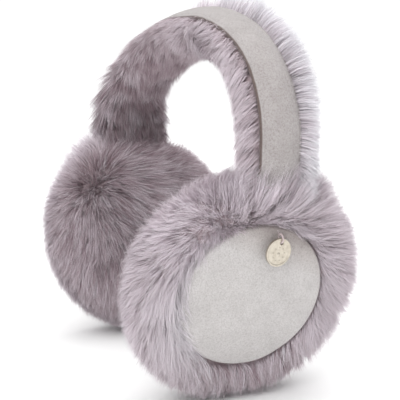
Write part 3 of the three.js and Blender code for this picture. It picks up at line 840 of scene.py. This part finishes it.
def makeStrap():
    # section: |y|^4, |n|^2.6 superellipse of half width and half thickness, bent to a dome and rolled
    # about the path, with a fine channel where each turned edge meets the face
    share = np.linspace(0.0, 1.0, strap["along"])[:, None]
    q = np.linspace(2 * np.pi, 0, strap["around"], endpoint=False)[None, :]
    share, q = np.broadcast_arrays(share, q)
    half, deep = strap["width"] / 2, strap["thickness"] / 2
    y = half * np.sign(np.cos(q)) * np.abs(np.cos(q)) ** 0.62
    n = deep * np.sign(np.sin(q)) * np.abs(np.sin(q)) ** 0.45 - deep
    outside = np.sin(q) > 0
    channel = np.exp(-((np.abs(y) - (half - strap["fold"])) / strap["channel"]) ** 2)
    point, along, out = bandAt(share, strapRoute)
    ripple = strap["ripple"] * waves(point + y[..., None] * np.array([0, 1, 0]), strap["rippleSize"], 5)
    n = n + strap["dome"] * (0.5 - (y / half) ** 2)
    n = n + np.where(outside, ripple - strap["foldDepth"] * channel, 0.0)
    y = y + np.sign(y) * 0.12 * mm * waves(point, 9 * mm, 15)
    roll, lift = (np.interp(share, *np.array(strap[key]).T) for key in ("roll", "lift"))
    roll, n = np.radians(roll), n + lift * mm
    c, s = np.cos(roll), np.sin(roll)
    place = point + out * (n * c + y * s)[..., None] + np.array([0, 1.0, 0]) * (y * c - n * s)[..., None]
    points, faces = closedRings(np.concatenate([place[:1], place, place[-1:]]))
    uv = np.stack([0.5 + 0.5 * y / half, share], axis=-1)
    uv = np.vstack([[[0.5, 0.0]], uv.reshape(-1, 2), [[0.5, 1.0]]])
    return addPiece("strap", points, faces, strapLook, uv, "strapMap")


strapPiece = makeStrap()
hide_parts("band_cover")
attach(strapPiece, "root")
print("strap made")


cap = {
    # radius and height of the skin, from the hidden back round the rolled rim to the middle, mm
    "profile": [
        [0, 10.2], [20, 10.2], [33.4, 10.3], [35.0, 12.0], [35.6, 13.9], [35.55, 15.4], [34.7, 16.9],
        [32.8, 17.2], [29, 16.9], [23, 17.2], [14, 17.9], [6, 18.25], [0, 18.35],
    ],
    "rings": 34, "around": 80,
    "pressure": 4.0,
    "frames": 20,
    "mostSwell": 0.8 * mm,   # the cloth's moves are cut to this
    "pinned": 34.6 * mm,     # the rim outside this radius is sewn down
    "pinnedBelow": 14.5 * mm,   # and so is all that lies lower than this
    "mapLean": math.radians(68),   # turn of the map's u axis on the cap
}


def capSkin(side):
    # the profile turned about the muff's axis, with waves of 24 and 8 mm in its height
    line = splineThrough(np.array(cap["profile"]) * mm, np.linspace(0, 1, cap["rings"]))
    line[0, 0] = line[-1, 0] = 0.0
    turn = np.linspace(0, 2 * np.pi, cap["around"], endpoint=False)
    radius, height, turn = np.broadcast_arrays(line[:, :1], line[:, 1:], turn)
    flatPlace = np.stack([radius * np.cos(turn), radius * np.sin(turn), height * 0], axis=-1)
    soft = smoothStep(12 * mm, 17 * mm, height)
    ripple = 0.20 * waves(flatPlace, 24 * mm, 31 + side) + 0.06 * waves(flatPlace, 8 * mm, 33 + side)
    height = height + soft * mm * ripple
    rings = onMuff(side, radius, height, turn)
    # map: u from the lower front edge to the upper rear edge, v square to it
    lean = turn - cap["mapLean"]
    uv = 0.5 + 0.5 * np.stack([radius * np.cos(lean), radius * np.sin(lean)], axis=-1) / (35.6 * mm)
    uv = np.vstack([[[0.5, 0.5]], uv[1:-1].reshape(-1, 2), [[0.5, 0.5]]])
    if side < 0:
        rings = rings[:, ::-1]
        uv[1:-1] = uv[1:-1].reshape(-1, cap["around"], 2)[:, ::-1].reshape(-1, 2)
    points, faces = closedRings(rings)
    return points, faces, uv


def swell(piece, side):
    # cloth blown up from inside with its rim pinned and no gravity, each point's move cut to mostSwell
    mesh = piece.data
    start = np.empty(len(mesh.vertices) * 3, np.float32)
    mesh.vertices.foreach_get("co", start)
    start = start.reshape(-1, 3)
    centre, n, u, v = muffAxes(side)
    out = (start - centre) @ n
    radius = np.linalg.norm(start - centre - out[:, None] * n, axis=1)
    held = (radius > cap["pinned"]) | (out < cap["pinnedBelow"])
    group = piece.vertex_groups.new(name="sewn")
    group.add(np.nonzero(held)[0].tolist(), 1.0, "REPLACE")
    cloth = piece.modifiers.new("cloth", "CLOTH")
    cloth.settings.quality = 5
    cloth.settings.vertex_group_mass = "sewn"
    cloth.settings.use_pressure = True
    cloth.settings.uniform_pressure_force = cap["pressure"]
    cloth.settings.effector_weights.gravity = 0.0
    cloth.settings.tension_stiffness = cloth.settings.compression_stiffness = 25.0
    cloth.settings.bending_stiffness = 1.0
    scene = bpy.context.scene
    for step in range(cap["frames"]):
        scene.frame_set(step + 1)
    blown = piece.evaluated_get(bpy.context.evaluated_depsgraph_get()).to_mesh()
    end = np.empty_like(start)
    blown.vertices.foreach_get("co", end.ravel())
    piece.modifiers.remove(cloth)
    piece.vertex_groups.remove(group)
    scene.frame_set(1)
    move = end - start
    length = np.linalg.norm(move, axis=1, keepdims=True)
    move *= np.minimum(1.0, cap["mostSwell"] / np.maximum(length, 1e-9))
    mesh.vertices.foreach_set("co", (start + move).astype(np.float32).ravel())
    mesh.update()
    print(piece.name, "blown out by up to", round(float(length.max()) / mm, 2), "mm before the cut")


def makeCap(side, name):
    points, faces, uv = capSkin(side)
    piece = addPiece(name, points, faces, capLook, uv, "capMap")
    swell(piece, side)
    smooth = piece.modifiers.new("smooth", "SUBSURF")
    smooth.levels = smooth.render_levels = 1
    return piece


for side, label in ((1, "right"), (-1, "left")):
    piece = makeCap(side, "cap_suede_" + label)
    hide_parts("cap_" + label)
    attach(piece, "root")
print("caps made")


charm = {
    "radius": 6.5 * mm, "thickness": 1.0 * mm,
    "rimWidth": 0.8 * mm, "rimHeight": 0.25 * mm,
    "hole": 0.95 * mm, "holeUp": 4.5 * mm,
    "dots": 9, "dotRing": 3.1 * mm, "dotDown": 0.9 * mm, "dotRadius": 0.45 * mm,
    "edgeDrop": [[0.0, 0.06], [0.02, 0.0], [0.98, 0.0], [1.0, 0.06]],   # share across a face, mm
    "tilt": 7.0, "roll": -18.0, "turn": 8.0,   # degrees
    "across": 96, "faceRows": 64,
}

thread = {
    "halfHeight": 2.3 * mm, "halfUp": 1.9 * mm,
    "back": 8.4 * mm, "height": 19.5 * mm, "up": 30.5 * mm,
    "hold": math.radians(30),  # where the charm hangs, from the loop's bottom
    "ply": 0.24 * mm, "apart": 0.19 * mm, "twists": 11,
    "along": 180, "sides": 8,
}


def onCap(front, height, up):
    # the right muff's own frame: forward, out along its axis, and up
    centre, n, u, v = muffAxes(1)
    return centre - front[..., None] * u + height[..., None] * n + up[..., None] * v


def turned(points):
    # about the charm's own axis by roll, then tilt, then turn
    roll, tilt, turn = (math.radians(charm[k]) for k in ("roll", "tilt", "turn"))
    aboutY = Matrix.Rotation(roll, 3, "Y")
    aboutX = Matrix.Rotation(tilt, 3, "X")
    aboutZ = Matrix.Rotation(turn, 3, "Z")
    return points @ np.array(aboutZ @ aboutX @ aboutY).T


def charmRelief(x, z):
    # a raised rim, a ring of round dots, a boss in its middle, and slight dents from wear
    far = np.hypot(x, z)
    inner = charm["radius"] - charm["rimWidth"]
    height = charm["rimHeight"] * smoothStep(inner - 0.12 * mm, inner + 0.12 * mm, far)
    angle = 2 * np.pi * np.arange(charm["dots"]) / charm["dots"]
    dotX, dotZ = charm["dotRing"] * np.cos(angle), charm["dotRing"] * np.sin(angle) - charm["dotDown"]
    toDot = np.hypot(x[..., None] - dotX, z[..., None] - dotZ)
    height += (0.30 * mm * np.sqrt(bump(toDot, charm["dotRadius"]))).sum(axis=-1)
    height += 0.38 * mm * np.sqrt(bump(np.hypot(x, z + charm["dotDown"]), 2 * charm["dotRadius"]))
    return height + 0.02 * mm * waves(np.stack([x, z, 0 * x], axis=-1), 2.6 * mm, 61)


def makeCharm():
    # rows run over the front from the hole's edge to the rim, (1 - s) hole(a) + s rim(a), round the
    # rounded rim, back over the other face, and through the hole to the start
    angle = np.linspace(0, 2 * np.pi, charm["across"], endpoint=False)[None, :]
    s = np.concatenate([[0.0, 0.01], np.linspace(0.02, 0.98, charm["faceRows"]), [0.992, 1.0]])[:, None]
    drop = np.interp(s, *np.array(charm["edgeDrop"]).T) * mm
    holeX, holeZ = charm["hole"] * np.cos(angle), charm["hole"] * np.sin(angle) + charm["holeUp"]
    rimX, rimZ = charm["radius"] * np.cos(angle), charm["radius"] * np.sin(angle)
    x, z = holeX + s * (rimX - holeX), holeZ + s * (rimZ - holeZ)
    front = charm["thickness"] / 2 + charmRelief(x, z) - drop
    rearRows = slice(None, None, -6)
    rearX, rearZ, rearDrop = x[rearRows], z[rearRows], drop[rearRows]
    rear = -charm["thickness"] / 2 + rearDrop + 0 * rearX
    local = np.concatenate([np.stack([x, front, z], axis=-1), np.stack([rearX, rear, rearZ], axis=-1)])
    rows, columns = local.shape[:2]
    place = turned(local) - turned(np.array([0.0, 0.0, charm["holeUp"]]))
    hangFront = -thread["back"]
    hangHeight = thread["height"] + thread["halfHeight"] * math.sin(thread["hold"])
    hangUp = thread["up"] - thread["halfUp"] * math.cos(thread["hold"])
    points = onCap(place[..., 0] + hangFront, place[..., 1] + hangHeight, place[..., 2] + hangUp)
    faces = [gridQuads(rows, columns, wrapRows=True, wrapColumns=True)]
    return addPiece("charm_disc", asRows(points), faces, charmLook)


def makeThread():
    # two plies twisted about an oval loop that is sewn through the cap's face
    along, sides = thread["along"], thread["sides"]
    theta = np.linspace(0, 2 * np.pi, along, endpoint=False)[:, None]
    around = np.linspace(0, 2 * np.pi, sides, endpoint=False)[None, :]
    theta, around = np.broadcast_arrays(theta, around)
    points, faces = [], []
    for ply in (0, 1):
        twist = thread["twists"] * theta + ply * np.pi
        inward = thread["apart"] * np.cos(twist) + thread["ply"] * np.cos(around)
        front = -thread["back"] + thread["apart"] * np.sin(twist) + thread["ply"] * np.sin(around)
        height = thread["height"] + (thread["halfHeight"] + inward) * np.sin(theta)
        up = thread["up"] + (thread["halfUp"] + inward) * np.cos(theta)
        faces.append(gridQuads(along, sides, wrapRows=True, wrapColumns=True) + ply * along * sides)
        points.append(asRows(onCap(front, height, up)))
    return addPiece("charm_loop", np.vstack(points), faces, threadLook)


for piece, node in ((makeCharm(), "charm"), (makeThread(), "charm_thread")):
    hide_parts(node)
    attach(piece, "root")
print("charm hung")


studio = {
    "floorColour": (0.90, 0.90, 0.90),
    "floorReach": 2.2,
    "backdrop": 1.08,        # what the camera sees past the floor
    "world": 0.50,           # what lights the room
    "lights": [
        # name, power, size, place, target
        ["overhead", 330.0, 8.0, (0, 0, 4.0), (0, 0, 0)],
        ["key", 1.1, 0.35, (0.50, -0.38, 0.34), (0.08, 0, 0.07)],
        ["fill", 0.5, 0.5, (0.1, -0.8, 0.4), (0, 0, 0.08)],
        ["back", 3.0, 1.0, (-0.9, 0.9, 0.9), (0, 0, 0.08)],
    ],
}

view = {
    "place": (0.44072, -0.18079, 0.16361),
    "azimuth": 1.1640247, "elevation": 0.1637774,   # radians
    "lens": 82.71,
}


def makeStudio():
    material, nodes, links, shader = newMaterial("studio_floor")
    shader.inputs["Base Color"].default_value = (*studio["floorColour"], 1.0)
    shader.inputs["Roughness"].default_value = 0.9
    shader.inputs["Specular IOR Level"].default_value = 0.0
    mesh = bpy.data.meshes.new("floor")
    reach = studio["floorReach"]
    corners = [(-reach, -reach, 0), (reach, -reach, 0), (reach, reach, 0), (-reach, reach, 0)]
    mesh.from_pydata(corners, [], [(0, 1, 2, 3)])
    floor = bpy.data.objects.new("floor", mesh)
    mesh.materials.append(material)
    bpy.context.scene.collection.objects.link(floor)
    world = bpy.data.worlds.new("studio")
    world.use_nodes = True
    nodes, links = world.node_tree.nodes, world.node_tree.links
    room, backdrop = nodes["Background"], nodes.new("ShaderNodeBackground")
    mix = nodes.new("ShaderNodeMixShader")
    for node, strength in ((room, studio["world"]), (backdrop, studio["backdrop"])):
        node.inputs[0].default_value = (1.0, 1.0, 1.0, 1.0)
        node.inputs[1].default_value = strength
    links.new(nodes.new("ShaderNodeLightPath").outputs["Is Camera Ray"], mix.inputs[0])
    links.new(room.outputs[0], mix.inputs[1])
    links.new(backdrop.outputs[0], mix.inputs[2])
    links.new(mix.outputs[0], nodes["World Output"].inputs["Surface"])
    bpy.context.scene.world = world


def addLight(name, power, size, place, target):
    lamp = bpy.data.lights.new(name, "AREA")
    lamp.energy = power
    lamp.size = size
    light = bpy.data.objects.new(name, lamp)
    back = unit(np.array(place) - np.array(target))
    right = unit(np.cross([0, 1.0, 0.2], back))
    up = np.cross(back, right)
    light.matrix_world = Matrix([(right[k], up[k], back[k], place[k]) for k in range(3)] + [(0, 0, 0, 1)])
    light.visible_camera = False
    bpy.context.scene.collection.objects.link(light)


def makeCamera():
    data = bpy.data.cameras.new("camera")
    data.sensor_width = 36.0
    data.lens = view["lens"]
    data.clip_start = 0.02
    data.clip_end = 40.0
    camera = bpy.data.objects.new("camera", data)
    az, el, place = view["azimuth"], view["elevation"], view["place"]
    right = (math.cos(az), math.sin(az), 0.0)
    back = (math.sin(az) * math.cos(el), -math.cos(az) * math.cos(el), math.sin(el))
    up = tuple(np.cross(back, right))
    camera.matrix_world = Matrix([(right[k], up[k], back[k], place[k]) for k in range(3)] + [(0, 0, 0, 1)])
    bpy.context.scene.collection.objects.link(camera)
    bpy.context.scene.camera = camera


makeStudio()
for row in studio["lights"]:
    addLight(*row)
makeCamera()
bpy.context.scene.view_settings.view_transform = "Standard"
print("studio set")
